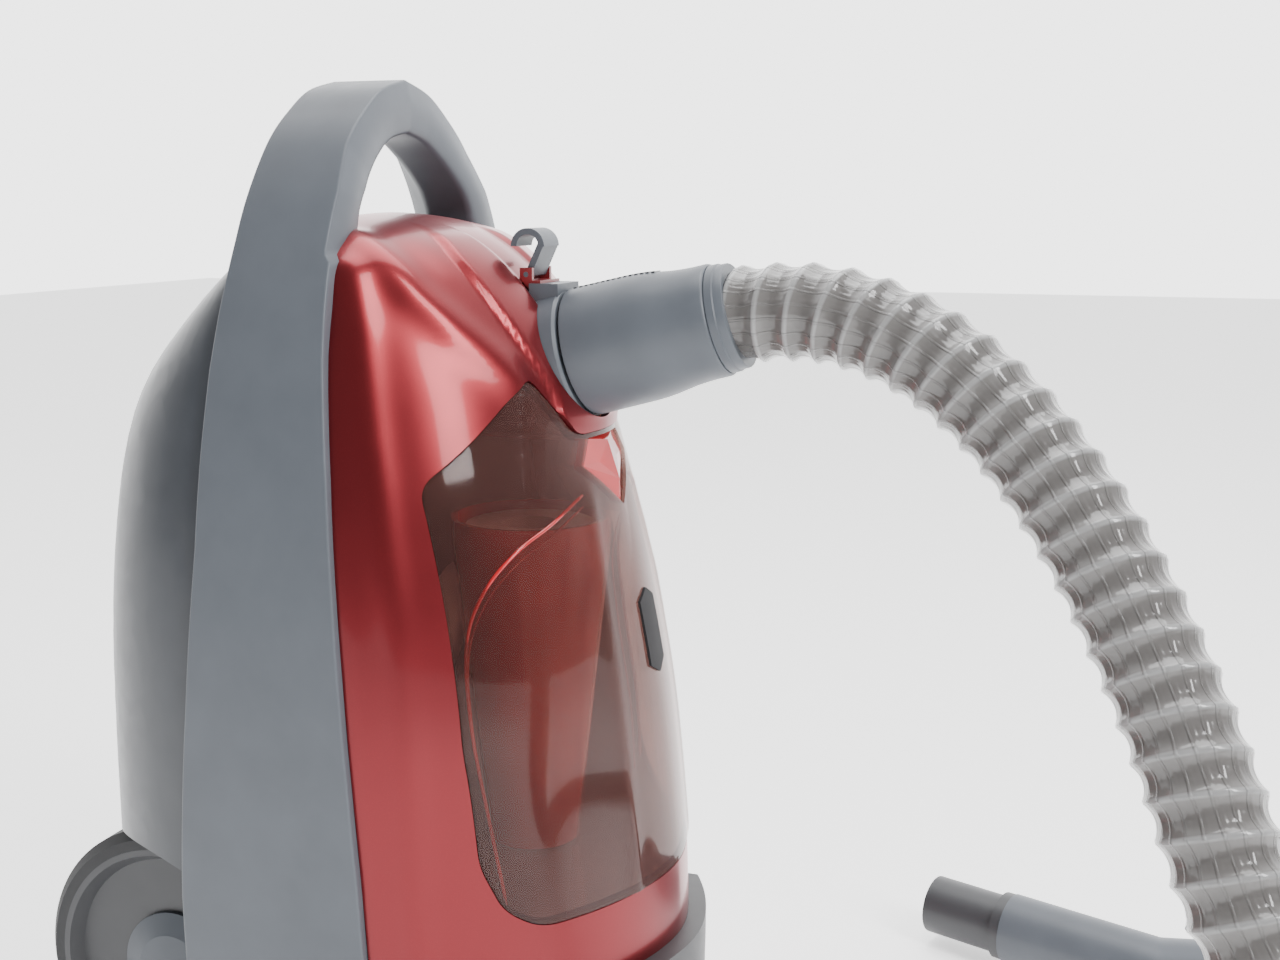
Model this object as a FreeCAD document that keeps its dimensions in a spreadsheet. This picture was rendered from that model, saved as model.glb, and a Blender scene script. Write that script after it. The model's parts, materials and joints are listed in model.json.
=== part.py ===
import FreeCAD, Part
import math
import os

import Sketcher

# Canister vacuum cleaner, standing upright on its tail, hose in its port.
# Frame: origin on the floor under the middle of the body, +Z up, front (cup and port) to -Y,
# symmetric about the plane X = 0.  Millimetres and degrees.

Vector = FreeCAD.Vector
Rotation = FreeCAD.Rotation
X_AXIS = Vector(1, 0, 0)
Y_AXIS = Vector(0, 1, 0)
Z_AXIS = Vector(0, 0, 1)

# ---------------------------------------------------------------- driving dimensions
SIZES = {
    "wall": (2.6, "moulded wall thickness"),
    "gap": (0.5, "gap round a removable or moving panel"),
    "running": (0.05, "radial clearance of a running fit"),
    "foot_height": (5.0, "parking feet, floor to tail"),
    "port_y": (-93.8, "hose port axis, point at the collar's face"),
    "port_z": (389.9, "hose port axis, point at the collar's face"),
    "port_tilt": (14.3, "hose port axis above the horizontal, degrees"),
    "collar_radius": (30.5, "port collar, outside"),
    "collar_depth": (20.0, "port collar, along the axis"),
    "port_bore": (23.0, "port collar bore radius"),
    "cuff_radius": (29.5, "hose cuff at the port"),
    "cuff_length": (76.0, "hose cuff along the axis"),
    "hose_radius": (21.7, "hose over its rings"),
    "hose_bore": (19.0, "hose inside"),
    "cup_floor": (147.0, "lowest edge of the dirt cup"),
    "cup_back": (-24.0, "rear edge of the dirt cup"),
    "lid_thickness": (4.0, "dirt cup back plate"),
    "wheel_radius": (70.0, "rear wheels"),
    "wheel_width": (22.0, "rear wheels"),
    "wheel_inside": (76.0, "inner face of each rear wheel from the middle"),
    "wheel_y": (80.0, "rear wheel axis"),
    "wheel_z": (100.0, "rear wheel axis"),
    "axle_radius": (4.0, "rear wheel axles"),
    "motor_y": (14.0, "motor front face"),
    "motor_z": (255.0, "motor axis"),
    "motor_radius": (52.0, "motor can"),
    "motor_length": (88.0, "motor can"),
    "reel_y": (45.0, "cord reel axis"),
    "reel_z": (96.0, "cord reel axis"),
    "reel_radius": (55.0, "cord reel flanges"),
    "caster_y": (126.0, "caster socket face"),
    "caster_z": (296.0, "caster swivel axis"),
    "caster_radius": (10.0, "caster roller"),
    "pedal_low": (28.0, "foot pedals, lower edge"),
    "pedal_high": (62.0, "foot pedals, upper edge"),
    "pedal_spring": (15.0, "foot pedals, length of the spring behind each"),
    "grip_radius": (22.5, "hose cuff at the hand grip"),
    "wand_radius": (17.5, "tube end that takes the extension wand"),
    "wand_bore": (15.5, "inside of that tube"),
    "wand_length": (45.0, "length of that tube that enters the wand"),
}

document = FreeCAD.newDocument("canister_vacuum")
sheet = document.addObject("Spreadsheet::Sheet", "Sizes")
for row, (alias, (value, meaning)) in enumerate(SIZES.items(), start=1):
    sheet.set(f"A{row}", meaning)
    sheet.set(f"B{row}", str(value))
    sheet.setAlias(f"B{row}", alias)
document.recompute()


class Size:
    """A length that knows its value and the spreadsheet formula that gives it."""

    def __init__(self, value, formula):
        self.value = value
        self.formula = formula

    def __float__(self):
        return float(self.value)

    def __add__(self, other):
        other = as_size(other)
        return Size(self.value + other.value, f"({self.formula} + {other.formula})")

    def __sub__(self, other):
        other = as_size(other)
        return Size(self.value - other.value, f"({self.formula} - {other.formula})")

    def __mul__(self, other):
        other = as_size(other)
        return Size(self.value * other.value, f"({self.formula} * {other.formula})")

    def __radd__(self, other):
        return as_size(other) + self

    def __rsub__(self, other):
        return as_size(other) - self

    def __rmul__(self, other):
        return as_size(other) * self

    def __neg__(self):
        return as_size(0) - self


def as_size(number):
    """A plain number as a Size."""
    if isinstance(number, Size):
        return number
    return Size(float(number), f"({float(number)})")


class Sheet:
    """The spreadsheet's cells as attributes."""


S = Sheet()
for alias in SIZES:
    setattr(S, alias, Size(float(getattr(sheet, alias)), f"Sizes.{alias}"))

# ---------------------------------------------------------------- small builders
parts = []


def keep(piece, label):
    """Mark a finished sub-part: its label names its file."""
    piece.Label = label
    parts.append(piece)
    return piece


def bind(piece, name, size):
    """Tie one property to the spreadsheet."""
    piece.setExpression(name, as_size(size).formula)


def put(piece, base, axis=None):
    """Place a piece, turning its own Z onto axis."""
    turn = Rotation(Z_AXIS, axis) if axis else Rotation()
    piece.Placement = FreeCAD.Placement(Vector(*[float(value) for value in base]), turn)
    for name, value in zip("xyz", base):
        if isinstance(value, Size):
            bind(piece, f"Placement.Base.{name}", value)
    return piece


def block(name, low, high):
    """Box between two corners."""
    piece = document.addObject("Part::Box", name)
    for side, start, end in zip(("Length", "Width", "Height"), low, high):
        bind(piece, side, as_size(end) - start)
    return put(piece, low)


def rod(name, base, axis, radius, length):
    """Solid cylinder from base along axis."""
    piece = document.addObject("Part::Cylinder", name)
    bind(piece, "Radius", radius)
    bind(piece, "Height", length)
    return put(piece, base, axis)


def fuse(name, *pieces):
    """Union of pieces."""
    piece = document.addObject("Part::MultiFuse", name)
    piece.Shapes = list(pieces)
    return piece


def cut(name, base, *tools):
    """base less every tool, one after the other."""
    for index, tool in enumerate(tools):
        last = index == len(tools) - 1
        piece = document.addObject("Part::Cut", name if last else f"{name}_cut_{index}")
        piece.Base = base
        piece.Tool = tool
        base = piece
    return base


def common(name, first, second):
    """The space that two pieces share."""
    piece = document.addObject("Part::Common", name)
    piece.Base = first
    piece.Tool = second
    return piece


def freeform(name, shape):
    """A shape that only lofting gives."""
    piece = document.addObject("Part::Feature", name)
    piece.Shape = shape
    return piece


def plane_of(body, role):
    """One of a body's own origin planes."""
    return [item for item in body.Origin.OriginFeatures if item.Role == role][0]


def tie_coordinate(sketch, index, kind, value):
    """Fix one coordinate of a sketch line's start point, from the sheet where it comes from it."""
    if abs(float(value)) < 1e-9:
        sketch_axis = -2 if kind == "DistanceX" else -1
        sketch.addConstraint(Sketcher.Constraint("PointOnObject", index, 1, sketch_axis))
        return
    number = sketch.addConstraint(Sketcher.Constraint(kind, -1, 1, index, 1, float(value)))
    if isinstance(value, Size):
        sketch.setExpression(f"Constraints[{number}]", value.formula)


def outline_sketch(body, points, name):
    """Closed polygon in a body's XZ plane, every corner fixed."""
    sketch = body.newObject("Sketcher::SketchObject", f"{name}_sketch")
    sketch.AttachmentSupport = [(plane_of(body, "XZ_Plane"), "")]
    sketch.MapMode = "FlatFace"
    corners = [Vector(float(x), float(z), 0) for x, z in points]
    count = len(corners)
    for index in range(count):
        sketch.addGeometry(Part.LineSegment(corners[index], corners[(index + 1) % count]), False)
    for index in range(count):
        following = (index + 1) % count
        sketch.addConstraint(Sketcher.Constraint("Coincident", index, 2, following, 1))
    for index, (x, z) in enumerate(points):
        tie_coordinate(sketch, index, "DistanceX", x)
        tie_coordinate(sketch, index, "DistanceY", z)
    return sketch


def turned(name, profile, base=(0, 0, 0), axis=Z_AXIS):
    """Body of revolution: profile is (radius, height) corners, its axis runs from base."""
    body = document.addObject("PartDesign::Body", name)
    sketch = outline_sketch(body, profile, name)
    revolution = body.newObject("PartDesign::Revolution", f"{name}_revolution")
    revolution.Profile = sketch
    revolution.ReferenceAxis = (sketch, ["V_Axis"])
    revolution.Angle = 360.0
    return put(body, base, axis)


def pillar(name, outline, y_low, y_high):
    """Prism: an XZ outline between two Y positions."""
    body = document.addObject("PartDesign::Body", name)
    sketch = outline_sketch(body, outline, name)
    pad = body.newObject("PartDesign::Pad", f"{name}_pad")
    pad.Profile = sketch
    bind(pad, "Length", as_size(y_high) - y_low)
    return put(body, (0, y_high, 0))


def mirrored(half):
    """Closed symmetric outline from its right half, listed from the bottom to the top."""
    left = [(-as_size(x), z) if isinstance(x, Size) else (-x, z) for x, z in reversed(half)]
    return half + [point for point in left if abs(float(point[0])) > 1e-9]


def outward(solid):
    """The same solid with its faces turned outward."""
    if solid.Volume < 0:
        solid.reverse()
    return solid


# ---------------------------------------------------------------- body surfaces
# A cross-section of the body is half of a superellipse: middle of the front (or rear) at
# (centre_y, centre_z), edges against the side band at (+-half_width, edge_y, edge_z).
FRONT_ROWS = [
    (-134, 5, 94, -38, 5), (-139, 35, 105, -39, 35), (-141.5, 85, 115.5, -40, 85),
    (-141, 135, 121, -40, 135), (-137.5, 180, 123.5, -38.8, 180), (-131.5, 230, 124, -35.8, 230),
    (-122.5, 280, 120.5, -31.2, 280), (-113, 320, 115.5, -27, 320), (-105, 350, 110, -23.8, 350),
    (-96.5, 378, 103, -20, 378), (-84.5, 402, 96, -17, 401), (-72, 419, 91, -14.5, 415),
    (-57, 434, 87, -12, 427), (-40, 444.5, 82.5, -7, 435), (-20, 450.5, 79, 0, 439),
    (2, 453, 76, 8, 441), (16, 452, 74, 14, 441),
]
REAR_ROWS = [
    (112, 5, 94, 56.5, 5), (119, 35, 105, 55.5, 35), (123, 85, 115.5, 52.5, 85),
    (125, 135, 121, 49.5, 135), (125, 180, 123.5, 45.5, 180), (125, 230, 124, 41, 230),
    (125, 280, 120.5, 38, 280), (122, 320, 115.5, 36, 320), (117, 350, 110, 35.5, 350),
    (104, 381, 102.5, 35, 380), (87, 401, 96, 34.3, 400), (70, 417, 90.5, 33.2, 415),
    (56, 428, 86, 32, 425), (42, 437, 82, 30, 433), (28, 446, 78, 26, 438),
    (18, 451, 75, 20, 441),
]
FRONT_POWERS = (1.8, 1.6)
REAR_POWERS = (3.0, 2.0)
SECTION_STEPS = 8


def section_wire(row, powers, inset, overrun):
    """One cross-section, moved inward by inset and carried overrun past the band's edge."""
    centre_y, centre_z, half_width, edge_y, edge_z = row
    edge = Vector(0, edge_y, edge_z)
    inward = (edge - Vector(0, centre_y, centre_z)).normalize()
    centre = Vector(0, centre_y, centre_z) + inward * inset
    half_width = half_width - inset
    points = []
    for step in range(-SECTION_STEPS, SECTION_STEPS + 1):
        angle = abs(step) / SECTION_STEPS * math.pi / 2
        across = math.sin(angle) ** (2 / powers[0])
        forward = max(math.cos(angle), 0.0) ** (2 / powers[1])
        point = edge + (centre - edge) * forward
        points.append(point + X_AXIS * math.copysign(half_width * across, step))
    curve = Part.BSplineCurve()
    curve.interpolate(points)
    corners = [points[-1]]
    if overrun:
        corners += [points[-1] + inward * overrun, points[0] + inward * overrun]
    corners.append(points[0])
    sides = [Part.makeLine(start, end) for start, end in zip(corners, corners[1:])]
    return Part.Wire([curve.toShape()] + sides)


def body_loft(rows, powers, inset=0.0, overrun=0.0):
    """Solid bounded by the body's surface and the plane of the band's edges."""
    wires = [section_wire(row, powers, inset, overrun) for row in rows]
    return outward(Part.makeLoft(wires, True, False))


def lowered(rows, inset):
    """The same rows with the two end rows pushed out, so that a hollow opens at both ends."""
    first = (rows[0][0], rows[0][1] + inset) + rows[0][2:4] + (rows[0][4] + inset,)
    return [first] + rows[1:]


front_blank = freeform("front_blank", body_loft(FRONT_ROWS, FRONT_POWERS))
rear_blank = freeform("rear_blank", body_loft(REAR_ROWS, REAR_POWERS))
front_hollow = freeform(
    "front_hollow", body_loft(lowered(FRONT_ROWS, 3), FRONT_POWERS, float(S.wall), 30)
)
rear_hollow = freeform(
    "rear_hollow", body_loft(lowered(REAR_ROWS, 3), REAR_POWERS, float(S.wall), 4)
)

# Side band: a frame round the whole body whose top is the carry handle.
BAND_OUTSIDE = [
    (94, 5), (112, 50), (121, 100), (126, 150), (128, 200), (127, 250), (122, 300),
    (114, 350), (101.5, 400), (86, 441), (68, 472), (42, 497), (0, 513.5),
]
BAND_INSIDE = [
    (88, 5), (106, 50), (115, 100), (120, 150), (122, 200), (121, 250), (116, 300),
    (107.5, 350), (92, 400), (72, 425), (60, 442), (56, 453), (48, 463), (34, 476), (0, 489),
]
BAND_FRONT = [
    (-38, 0), (-40, 100), (-39.1, 172), (-36.6, 218), (-33.2, 259), (-29.3, 298),
    (-24.6, 344), (-18, 393), (-15, 440), (-13, 463), (-8, 482), (-5, 530),
]
BAND_BACK = [
    (58, 0), (49.6, 158), (41.5, 246), (37.7, 312), (36.5, 387), (34, 423), (33, 467), (33, 530),
]
BAND_MIDDLE_Y = 14.0
BAND_REACH = 75.0


def arch_solid(half):
    """Smooth arch with a straight foot, carried from the front to the rear past the band's edges."""
    start_y = BAND_MIDDLE_Y - BAND_REACH
    right = [Vector(x, start_y, z) for x, z in half]
    left = [Vector(-x, start_y, z) for x, z in reversed(half[:-1])]
    curve = Part.BSplineCurve()
    curve.interpolate(right + left)
    wire = Part.Wire([curve.toShape(), Part.makeLine(left[-1], right[0])])
    return outward(Part.Face(wire).extrude(Y_AXIS * (2 * BAND_REACH)))


def edge_solid(room=0.0):
    """The band seen from the side, carried right across the body, with room behind its back edge."""
    front = Part.BSplineCurve()
    front.interpolate([Vector(-150, y, z) for y, z in BAND_FRONT])
    back = Part.BSplineCurve()
    back.interpolate([Vector(-150, y + room, z) for y, z in BAND_BACK])
    wire = Part.Wire([
        front.toShape(),
        Part.makeLine(front.EndPoint, back.EndPoint),
        back.toShape(),
        Part.makeLine(back.StartPoint, front.StartPoint),
    ])
    return outward(Part.Face(wire).extrude(Vector(300, 0, 0)))


band_core = freeform("band_core", arch_solid(BAND_INSIDE))
band_ring = cut("band_ring", freeform("band_blank", arch_solid(BAND_OUTSIDE)), band_core)
side_band = keep(common("side_band", band_ring, freeform("band_edges", edge_solid())), "side_band")
band_room = cut("band_room", freeform("room_edges", edge_solid(float(S.gap))), band_core)

# ---------------------------------------------------------------- hose port
tilt = math.radians(float(S.port_tilt))
PORT_AXIS = Vector(0, -math.cos(tilt), math.sin(tilt))
PORT_FACE = Vector(0, float(S.port_y), float(S.port_z))


def on_port(distance):
    """Point on the port's axis, counted outward from the collar's face."""
    return tuple(PORT_FACE + PORT_AXIS * distance)


port_hole = rod("port_hole", on_port(-60), PORT_AXIS, S.collar_radius, 100)
collar_ring = turned("collar_ring", [
    (S.port_bore, 0), (S.collar_radius - 1, 0), (S.collar_radius, 6),
    (S.collar_radius, S.collar_depth - 2), (S.collar_radius - 1, S.collar_depth - 0.7),
    (S.port_bore, S.collar_depth - 0.7),
], on_port(-float(S.collar_depth)), PORT_AXIS)
collar_tab = block("collar_tab", (-13, -86, 410), (13, -72, 421.5))
collar_bore = rod("collar_bore", on_port(-40), PORT_AXIS, S.port_bore, 60)
port_collar = keep(cut("port_collar", fuse("collar_sum", collar_ring, collar_tab), collar_bore),
                   "port_collar")

cuff_profile = [
    (S.hose_bore, -15), (S.port_bore - S.running, -15), (S.port_bore - S.running, 0.6),
    (S.cuff_radius, 0.6), (S.cuff_radius, 3), (S.cuff_radius - 0.8, 38), (S.cuff_radius - 3.6, 46),
    (S.cuff_radius - 4.6, S.cuff_length - 8), (S.hose_bore, S.cuff_length - 8),
]
hose_cuff = keep(turned("hose_cuff", cuff_profile, on_port(0), PORT_AXIS), "hose_cuff")
end_ring_profile = [
    (S.hose_bore, S.cuff_length - 8), (S.cuff_radius - 5.8, S.cuff_length - 8),
    (S.cuff_radius - 6.4, S.cuff_length), (S.hose_bore, S.cuff_length),
]
cuff_end_ring = keep(turned("cuff_end_ring", end_ring_profile, on_port(0), PORT_AXIS),
                     "cuff_end_ring")

# ---------------------------------------------------------------- dirt cup
CUP_HALF = [
    (84, S.cup_floor), (96, 158), (102.5, 180), (104, 232), (100, 296), (97, 342),
    (45, 384), (27, 355.4),
]


def shrunk(half, amount):
    """The cup's half outline moved inward, corner by corner."""
    first_left = half[1] if half[0][0] == 0 else half[0]
    full = [(-first_left[0], first_left[1])] + half + [(-half[-1][0], half[-1][1])]
    flat = [Vector(float(x), float(z), 0) for x, z in full]
    result = []
    for before, here, after in zip(flat, flat[1:], flat[2:]):
        first = (here - before).normalize()
        second = (after - here).normalize()
        normal = Vector(-first.y - second.y, first.x + second.x, 0)
        reach = amount / max((1 + first.dot(second)) / 2, 0.2)
        moved = here + normal * (reach / 2)
        result.append((moved.x, moved.y))
    return result


kite_half = [(0, 320), (23, 341), (17, 353)]
cup_window = pillar("cup_window", mirrored(CUP_HALF), -170, -10)
cup_block = pillar("cup_block", mirrored(shrunk(CUP_HALF, float(S.gap))), -170, S.cup_back)
cup_room = pillar("cup_room", mirrored(shrunk(CUP_HALF, float(S.gap + S.wall))), -170, -10)
cup_outside = common("cup_outside", front_blank, cup_block)
cup_inside = common("cup_inside", front_hollow, cup_room)
kite_prism = pillar("kite_prism", mirrored(kite_half), -170, -92)
kite_wall = pillar("kite_wall", mirrored([(0, 317), (25.5, 340.5), (18.5, 354.8)]), -170, -90)
kite_pocket = common("kite_pocket", front_blank, kite_wall)
inlet_hole = rod("inlet_hole", (0, -56, 340), Z_AXIS, 16, 40)
dirt_cup_room = cut("dirt_cup_room", cup_inside, kite_pocket)
dirt_cup = keep(cut("dirt_cup", cup_outside, dirt_cup_room, kite_prism, inlet_hole), "dirt_cup")

lid_outline = mirrored(shrunk(CUP_HALF, float(S.gap)))
lid_top = S.cup_back + S.lid_thickness
cup_lid_plate = pillar("cup_lid_plate", lid_outline, S.cup_back, lid_top)
lid_hole = rod("lid_hole", (0, S.cup_back - 5, S.motor_z), Y_AXIS, 30, 20)
cup_back_plate = keep(cut("cup_back_plate", cup_lid_plate, lid_hole), "cup_back_plate")

cyclone_cone = keep(turned("cyclone_cone", [
    (20, 152), (22, 152), (38, 300), (38, 312), (36, 312), (36, 300),
], (0, -66, 0)), "cyclone_cone")
fine_filter = keep(turned("fine_filter", [(14, 236), (26, 236), (31, 308), (14, 308)], (0, -66, 0)),
                   "fine_filter")


button_prism = pillar("button_prism", mirrored(shrunk(kite_half, float(S.gap))), -170, -97)
cup_button = keep(common("cup_button", front_hollow, button_prism), "cup_button")
button_spring = keep(turned("button_spring", [(3.5, 0), (4.5, 0), (4.5, 5), (3.5, 5)],
                            (0, -97, 339), Y_AXIS), "button_spring")

badge_outline = mirrored([(0, 241), (9, 246), (9, 276), (0, 281)])
badge_shape = freeform("badge_blank", body_loft(FRONT_ROWS, FRONT_POWERS, -1.2))
badge_prism = pillar("badge_prism", badge_outline, -170, -110)
cup_badge = keep(cut("cup_badge", common("badge_slab", badge_shape, badge_prism), front_blank),
                 "cup_badge")

# ---------------------------------------------------------------- red front shell
pedal_outlines = {
    side: [(side * x, z) for x, z in
           ((34, S.pedal_low), (70, S.pedal_low), (70, S.pedal_high), (34, S.pedal_high))]
    for side in (-1, 1)
}
pedal_holes = [pillar(f"pedal_hole_{index}", outline, -160, -60)
               for index, outline in enumerate(pedal_outlines.values())]
tab_room = block("tab_room", (-13.4, -100, 400), (13.4, -60, 421.9))
front_shell = keep(cut("front_shell", front_blank, front_hollow, cup_window, port_hole,
                       tab_room, side_band, *pedal_holes), "front_shell")

bumper_outside = freeform("bumper_outside", body_loft(FRONT_ROWS, FRONT_POWERS, -9.0))
bumper_prism = pillar("bumper_prism", mirrored([(60, 72), (74, 92), (60, 112)]), -170, -90)
front_bumper = keep(cut("front_bumper", common("bumper_slab", bumper_outside, bumper_prism),
                        front_blank), "front_bumper")

pedal_floor = freeform("pedal_floor", body_loft(FRONT_ROWS, FRONT_POWERS, 6.0, 30))
for side, name in ((-1, "power"), (1, "rewind")):
    corners = [(side * x, z) for x, z in (
        (34 + S.gap, S.pedal_low + S.gap), (70 - S.gap, S.pedal_low + S.gap),
        (70 - S.gap, S.pedal_high - S.gap), (34 + S.gap, S.pedal_high - S.gap))]
    prism = pillar(f"{name}_prism", corners, -160, -60)
    slab = common(f"{name}_slab", front_blank, prism)
    keep(cut(f"{name}_pedal", slab, pedal_floor), f"{name}_pedal")
    coil = [(3.5, 0), (5, 0), (5, S.pedal_spring), (3.5, S.pedal_spring)]
    keep(turned(f"{name}_pedal_spring", coil, (side * 52, -96, 45), -Y_AXIS),
         f"{name}_pedal_spring")
pedal_tray = keep(block("pedal_tray", (-62, -96, 24), (62, -93, 66)), "pedal_tray")

# ---------------------------------------------------------------- rear housing and wheels
LINER_INSET = 1.2
middle_block = block("middle_block", (-99, 0, 20), (99, 52, 400))
well_limit = fuse("well_limit", middle_block,
                  freeform("rear_inset", body_loft(REAR_ROWS, REAR_POWERS, LINER_INSET, 10)))
housing_pieces = []
housing_cuts = [rear_hollow, band_room]
for side in (-1, 1):
    axis = X_AXIS * side
    liner = rod(f"liner_{side + 1}", (side * (S.wheel_inside - 6), S.wheel_y, S.wheel_z), axis,
                S.wheel_radius + 5.6, 80)
    well = rod(f"well_{side + 1}", (side * (S.wheel_inside - 3), S.wheel_y, S.wheel_z), axis,
               S.wheel_radius + 3, 80)
    trimmed = common(f"liner_trimmed_{side + 1}", liner, well_limit)
    axle_hole = rod(f"axle_hole_{side + 1}", (side * 60, S.wheel_y, S.wheel_z), axis,
                    S.axle_radius, 40)
    housing_pieces.append(cut(f"wheel_arch_{side + 1}", trimmed, well, axle_hole, band_room))
    housing_cuts.append(well)
door_low = (-52, 100, 176)
door_high = (52, 140, 236)
door_prism = block("door_prism", door_low, door_high)
barrel_room = rod("barrel_room", (-31, 126.2, 176), X_AXIS, 2.4, 62)
door_panel = block("door_panel", (door_low[0] + S.gap, 100, door_low[2] + S.gap),
                   (door_high[0] - S.gap, 140, door_high[2] - S.gap))
housing_skin = cut("housing_skin", rear_blank, *housing_cuts)
caster_seat = rod("caster_seat", (0, 104, S.caster_z), Y_AXIS, 17, S.caster_y - 104)
caster_hole = rod("caster_hole", (0, 100, S.caster_z), Y_AXIS, 4.05, 40)
gland_hole = rod("gland_hole", (-30, 60, 45), Y_AXIS, 8, 80)
rear_sum = fuse("rear_sum", housing_skin, *housing_pieces, caster_seat)
SCREW_PLACES = [(-44, 150), (44, 150), (-44, 262), (44, 262)]
screw_holes = [rod(f"screw_hole_{index}", (x, 100, z), Y_AXIS, 3, 40)
               for index, (x, z) in enumerate(SCREW_PLACES)]
base_housing = keep(cut("base_housing", rear_sum, door_prism, barrel_room, caster_hole, gland_hole,
                        *screw_holes),
                    "base_housing")
screws = [rod(f"screw_{index}", (x, 110, z), Y_AXIS, 3, 12.4)
          for index, (x, z) in enumerate(SCREW_PLACES)]
case_screws = keep(fuse("case_screws", *screws), "case_screws")

door_skin = cut("door_skin", rear_blank, rear_hollow)
door_slots = [block(f"door_slot_{index}", (-40, 100, 186 + 8 * index), (40, 140, 189.5 + 8 * index))
              for index in range(5)]
door_slab = cut("door_slab", common("door_plate", door_skin, door_panel), *door_slots)
door_barrel = rod("door_barrel", (-30, 126.2, 176), X_AXIS, 2, 60)
exhaust_door = keep(fuse("exhaust_door", door_slab, door_barrel), "exhaust_door")
exhaust_filter = keep(block("exhaust_filter", (-50, 106, 178), (50, 119, 234)), "exhaust_filter")
cord_gland = keep(turned("cord_gland", [(4, 0), (11, 0), (11, 2.5), (8, 2.5), (8, 14), (4, 14)],
                         (-30, 123.2, 45), -Y_AXIS), "cord_gland")

for side, name in ((-1, "left"), (1, "right")):
    axis = X_AXIS * side
    hub = (side * S.wheel_inside, S.wheel_y, S.wheel_z)
    keep(turned(f"tyre_{name}", [
        (S.wheel_radius - 9, 1), (S.wheel_radius - 4, 1), (S.wheel_radius, 5),
        (S.wheel_radius, S.wheel_width - 5), (S.wheel_radius - 4, S.wheel_width - 1),
        (S.wheel_radius - 9, S.wheel_width - 1)], hub, axis), f"tyre_{name}")
    keep(turned(f"rim_{name}", [
        (S.axle_radius + S.running, 0), (10, 0), (10, 12), (S.wheel_radius - 14, 12),
        (S.wheel_radius - 14, 1), (S.wheel_radius - 9, 1), (S.wheel_radius - 9, S.wheel_width - 1),
        (S.wheel_radius - 12, S.wheel_width - 1), (S.wheel_radius - 16, 15),
        (S.axle_radius + S.running, 15)], hub, axis), f"rim_{name}")
    keep(turned(f"hubcap_{name}", [
        (0, 17), (8, 17), (8, 15), (28, 15), (28, 17), (18, S.wheel_width - 1.5),
        (0, S.wheel_width)], hub, axis), f"hubcap_{name}")
    keep(rod(f"axle_{name}", (side * (S.wheel_inside - 8), S.wheel_y, S.wheel_z), axis,
             S.axle_radius, 23), f"axle_{name}")

# ---------------------------------------------------------------- caster under the nose
stem_base = (0, S.caster_y - 12, S.caster_z)
fork_plate = block("fork_plate", (-10, S.caster_y + 0.4, S.caster_z - 12),
                   (10, S.caster_y + 2.6, S.caster_z + 8))
fork_ears = [block(f"fork_ear_{index}", (x, S.caster_y + 0.4, S.caster_z - 12),
                   (x + 2, S.caster_y + 18, S.caster_z - 2)) for index, x in enumerate((-10, 8))]
fork_stem = rod("fork_stem", stem_base, Y_AXIS, 4, 13)
roller_y = S.caster_y + 14
roller_z = S.caster_z - 7
fork_bore = rod("fork_bore", (-20, roller_y, roller_z), X_AXIS, 2 + S.running, 40)
caster_fork = keep(cut("caster_fork", fuse("fork_sum", fork_plate, *fork_ears, fork_stem), fork_bore),
                   "caster_fork")
caster_roller = keep(turned("caster_roller", [
    (0, 0), (2, 0), (2, 2.4), (S.caster_radius - 1, 2.4), (S.caster_radius, 4.4),
    (S.caster_radius, 15.6), (S.caster_radius - 1, 17.6), (2, 17.6), (2, 20), (0, 20),
], (-10, roller_y, roller_z), X_AXIS), "caster_roller")

# ---------------------------------------------------------------- inside
filter_rim = block("filter_rim", (-62, -16, 195), (62, -4, 315))
filter_window = block("filter_window", (-56, -20, 201), (56, 0, 309))
filter_frame = keep(cut("filter_frame", filter_rim, filter_window), "filter_frame")
filter_foam = keep(block("filter_foam", (-56, -15, 201), (56, -5, 309)), "filter_foam")
cup_gasket = keep(cut(
    "cup_gasket",
    rod("gasket_outside", (0, -19.6, S.motor_z), Y_AXIS, 38, 3.4),
    rod("gasket_hole", (0, -22, S.motor_z), Y_AXIS, 31, 10)), "cup_gasket")

motor_base = (0, S.motor_y, S.motor_z)
motor_can = keep(turned("motor_can", [
    (18, 0), (S.motor_radius, 0), (S.motor_radius, S.motor_length), (10, S.motor_length),
    (10, S.motor_length - 3), (S.motor_radius - 3, S.motor_length - 3), (S.motor_radius - 3, 3),
    (18, 3)], motor_base, Y_AXIS), "motor_can")
motor_shaft = keep(rod("motor_shaft", (0, S.motor_y + 5, S.motor_z), Y_AXIS, 4, S.motor_length - 12),
                   "motor_shaft")
motor_fan = keep(turned("motor_fan", [
    (4, 8), (S.motor_radius - 7, 8), (S.motor_radius - 7, 18), (4, 18)], motor_base, Y_AXIS),
    "motor_fan")
motor_winding = keep(turned("motor_winding", [
    (20, 26), (S.motor_radius - 4, 26), (S.motor_radius - 4, 70), (20, 70)], motor_base, Y_AXIS),
    "motor_winding")
motor_rotor = keep(turned("motor_rotor", [(4, 26), (18, 26), (18, 70), (4, 70)], motor_base, Y_AXIS),
                   "motor_rotor")
for name, distance in (("front", 4), ("rear", 74)):
    keep(turned(f"motor_mount_{name}", [
        (S.motor_radius, distance), (S.motor_radius + 6, distance),
        (S.motor_radius + 6, distance + 9), (S.motor_radius, distance + 9)], motor_base, Y_AXIS),
        f"motor_mount_{name}")

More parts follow.
